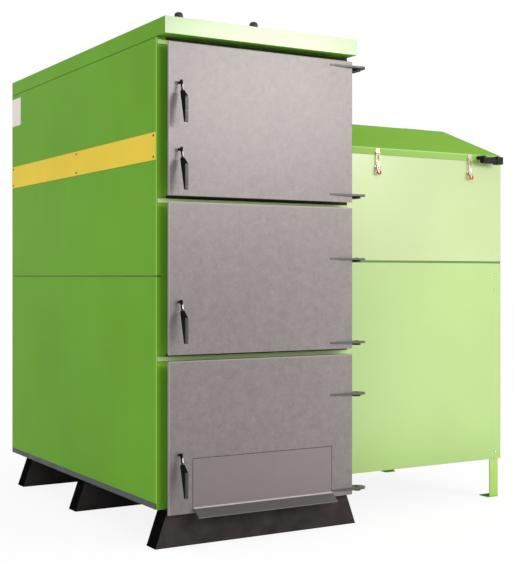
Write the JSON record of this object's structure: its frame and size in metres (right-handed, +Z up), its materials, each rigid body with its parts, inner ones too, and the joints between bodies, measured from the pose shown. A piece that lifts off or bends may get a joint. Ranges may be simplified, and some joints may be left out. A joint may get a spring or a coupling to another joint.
{
  "type": "pellet boiler",
  "caption": "Free-standing pellet boiler with hinged front doors, an air flap, lever handles and a side hopper with a sloping hinged lid and a feed auger.",
  "frame": {"origin": "on the floor, under the centre of the middle foot", "axes": "+X to the right towards the hopper, +Y to the back, +Z up"},
  "size_m": [1.8525, 1.936, 2.132],
  "materials": {
    "casing_green": "powder coat, satin",
    "hopper_green": "powder coat, satin",
    "door_grey": "hammered heat-proof paint",
    "base_dark": "matt black paint",
    "band_yellow": "satin film on sheet",
    "plate_pale": "satin, blank",
    "boiler_steel": "mill scale",
    "zinc": "zinc plated",
    "black_steel": "black paint",
    "black_plastic": "moulded, matt",
    "grate_iron": "as cast",
    "insulation": "mineral wool",
    "lining": "pressed board",
    "rope_seal": "braided glass rope",
    "motor_grey": "enamel"
  },
  "bodies": {
    "boiler": {"base_feet": "base_dark", "base_frame": "base_dark", "front_frame": "casing_green", "inner_shell": "boiler_steel", "outer_shell": "boiler_steel", "insulation": "insulation", "rear_panel": "casing_green", "top_cover": "casing_green", "side_band": "band_yellow", "blank_plate": "plate_pale", "screws": "zinc", "riser_caps": "black_plastic", "water_connections": "black_steel", "flue_spigot": "black_steel", "hinge_pintles": "black_steel", "latch_keepers": "casing_green", "burner_grate": "grate_iron", "ash_pan": "boiler_steel", "fire_tubes": "boiler_steel", "auger_tube": "black_steel", "auger_motor": "motor_grey", "hopper_shell": "hopper_green", "hopper_lower_front": "hopper_green", "hopper_upper_front": "hopper_green", "hopper_legs": "hopper_green", "lid_hinge": "zinc", "latch_plates": "zinc", "side_panel_left_lower": "casing_green", "side_panel_left_upper": "casing_green", "side_panel_right_lower": "casing_green", "side_panel_right_upper": "casing_green"},
    "lower_door": {"lower_door_panel": "door_grey", "lower_door_lining": "lining", "lower_door_seal": "rope_seal", "lower_hinge_leaves": "black_steel"},
    "middle_door": {"middle_door_panel": "door_grey", "middle_door_lining": "lining", "middle_door_seal": "rope_seal", "middle_hinge_leaves": "black_steel"},
    "upper_door": {"upper_door_panel": "door_grey", "upper_door_lining": "lining", "upper_door_seal": "rope_seal", "upper_hinge_leaves": "black_steel"},
    "lower_handle": {"lower_handle_lever": "black_steel", "lower_handle_grip": "black_plastic"},
    "middle_handle": {"middle_handle_lever": "black_steel", "middle_handle_grip": "black_plastic"},
    "upper_handle_low": {"upper_handle_low_lever": "black_steel", "upper_handle_low_grip": "black_plastic"},
    "upper_handle_high": {"upper_handle_high_lever": "black_steel", "upper_handle_high_grip": "black_plastic"},
    "air_flap": {"air_flap": "door_grey"},
    "feed_auger": {"feed_auger": "boiler_steel"},
    "hopper_lid": {"hopper_lid": "hopper_green", "lid_handle": "black_plastic", "lid_catches": "zinc"},
    "latch_lever_left": {"latch_lever_left": "zinc"},
    "latch_bail_left": {"latch_bail_left": "zinc"},
    "latch_lever_right": {"latch_lever_right": "zinc"},
    "latch_bail_right": {"latch_bail_right": "zinc"}
  },
  "joints": [
    {"name": "lower_door_hinge", "type": "hinge", "parent": "boiler", "child": "lower_door", "pos_m": [0.457, -0.865, 0.42], "axis": [0, 0, 1], "range_deg": [0, 120]},
    {"name": "middle_door_hinge", "type": "hinge", "parent": "boiler", "child": "middle_door", "pos_m": [0.457, -0.865, 1.02], "axis": [0, 0, 1], "range_deg": [0, 120]},
    {"name": "upper_door_hinge", "type": "hinge", "parent": "boiler", "child": "upper_door", "pos_m": [0.457, -0.865, 1.63], "axis": [0, 0, 1], "range_deg": [0, 120]},
    {"name": "lower_handle_turn", "type": "hinge", "parent": "lower_door", "child": "lower_handle", "pos_m": [-0.378, -0.881, 0.355], "axis": [0, -1, 0], "range_deg": [-25, 90]},
    {"name": "middle_handle_turn", "type": "hinge", "parent": "middle_door", "child": "middle_handle", "pos_m": [-0.378, -0.881, 0.934], "axis": [0, -1, 0], "range_deg": [-25, 90]},
    {"name": "upper_handle_low_turn", "type": "hinge", "parent": "upper_door", "child": "upper_handle_low", "pos_m": [-0.378, -0.881, 1.511], "axis": [0, -1, 0], "range_deg": [-25, 90]},
    {"name": "upper_handle_high_turn", "type": "hinge", "parent": "upper_door", "child": "upper_handle_high", "pos_m": [-0.378, -0.881, 1.764], "axis": [0, -1, 0], "range_deg": [-25, 90]},
    {"name": "air_flap_hinge", "type": "hinge", "parent": "lower_door", "child": "air_flap", "pos_m": [0, -0.8765, 0.33], "axis": [-1, 0, 0], "range_deg": [0, 60]},
    {"name": "auger_spin", "type": "hinge", "parent": "boiler", "child": "feed_auger", "pos_m": [0.8, -0.29, 0.8], "axis": [1, 0, 0], "continuous": true},
    {"name": "lid_hinge", "type": "hinge", "parent": "boiler", "child": "hopper_lid", "pos_m": [0.9365, -0.2935, 1.752], "axis": [-1, 0, 0], "range_deg": [0, 115]},
    {"name": "latch_lever_left_turn", "type": "hinge", "parent": "boiler", "child": "latch_lever_left", "pos_m": [0.6735, -0.721, 1.53], "axis": [-1, 0, 0], "range_deg": [0, 130]},
    {"name": "latch_bail_left_turn", "type": "hinge", "parent": "latch_lever_left", "child": "latch_bail_left", "pos_m": [0.6735, -0.721, 1.522], "axis": [-1, 0, 0], "range_deg": [-130, 0]},
    {"name": "latch_lever_right_turn", "type": "hinge", "parent": "boiler", "child": "latch_lever_right", "pos_m": [1.1995, -0.721, 1.53], "axis": [-1, 0, 0], "range_deg": [0, 130]},
    {"name": "latch_bail_right_turn", "type": "hinge", "parent": "latch_lever_right", "child": "latch_bail_right", "pos_m": [1.1995, -0.721, 1.522], "axis": [-1, 0, 0], "range_deg": [-130, 0]}
  ],
  "couplings": [
    {"joint": "latch_bail_left_turn", "follows": "latch_lever_left_turn", "ratio": -1},
    {"joint": "latch_bail_right_turn", "follows": "latch_lever_right_turn", "ratio": -1}
  ]
}
